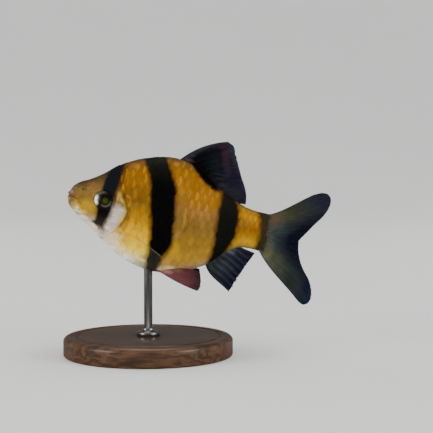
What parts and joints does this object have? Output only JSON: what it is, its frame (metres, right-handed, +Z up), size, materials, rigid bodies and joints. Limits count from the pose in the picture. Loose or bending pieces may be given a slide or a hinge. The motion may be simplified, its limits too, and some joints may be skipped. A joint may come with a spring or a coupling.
{
  "type": "tiger barb",
  "caption": "Life-size still model of a tiger barb, a deep-bodied banded fish, swimming nose up on a round wooden display stand with a steel rod.",
  "frame": {"origin": "centre of the stand base's underside, on the surface that the model stands on", "axes": "+Z up, -X the way the fish faces, -Y its left flank, which the picture shows"},
  "size_m": [0.0691, 0.044, 0.0554],
  "materials": {
    "flesh": "scaled skin, golden orange with black bands, wet gloss",
    "fin": "dark membrane on fine rays, satin",
    "red_fin": "dusky red membrane on fine rays, satin",
    "clear_fin": "clear membrane on fine rays, satin",
    "eye": "silver iris and dark pupil under a clear, wet gloss",
    "wood": "dark turned wood, satin varnish",
    "steel": "brushed"
  },
  "bodies": {
    "root": {"head": "flesh", "lower_jaw": "flesh", "gill_cover_left": "flesh", "gill_cover_right": "flesh", "eye_left": "eye", "eye_right": "eye", "trunk": "flesh", "tail_stalk": "flesh", "dorsal_fin": "fin", "anal_fin": "fin", "caudal_fin_upper": "fin", "caudal_fin_lower": "fin", "pelvic_fin_left": "red_fin", "pelvic_fin_right": "red_fin", "pectoral_fin_left": "clear_fin", "pectoral_fin_right": "clear_fin", "stand_base": "wood", "stand_rod": "steel"}
  },
  "joints": []
}
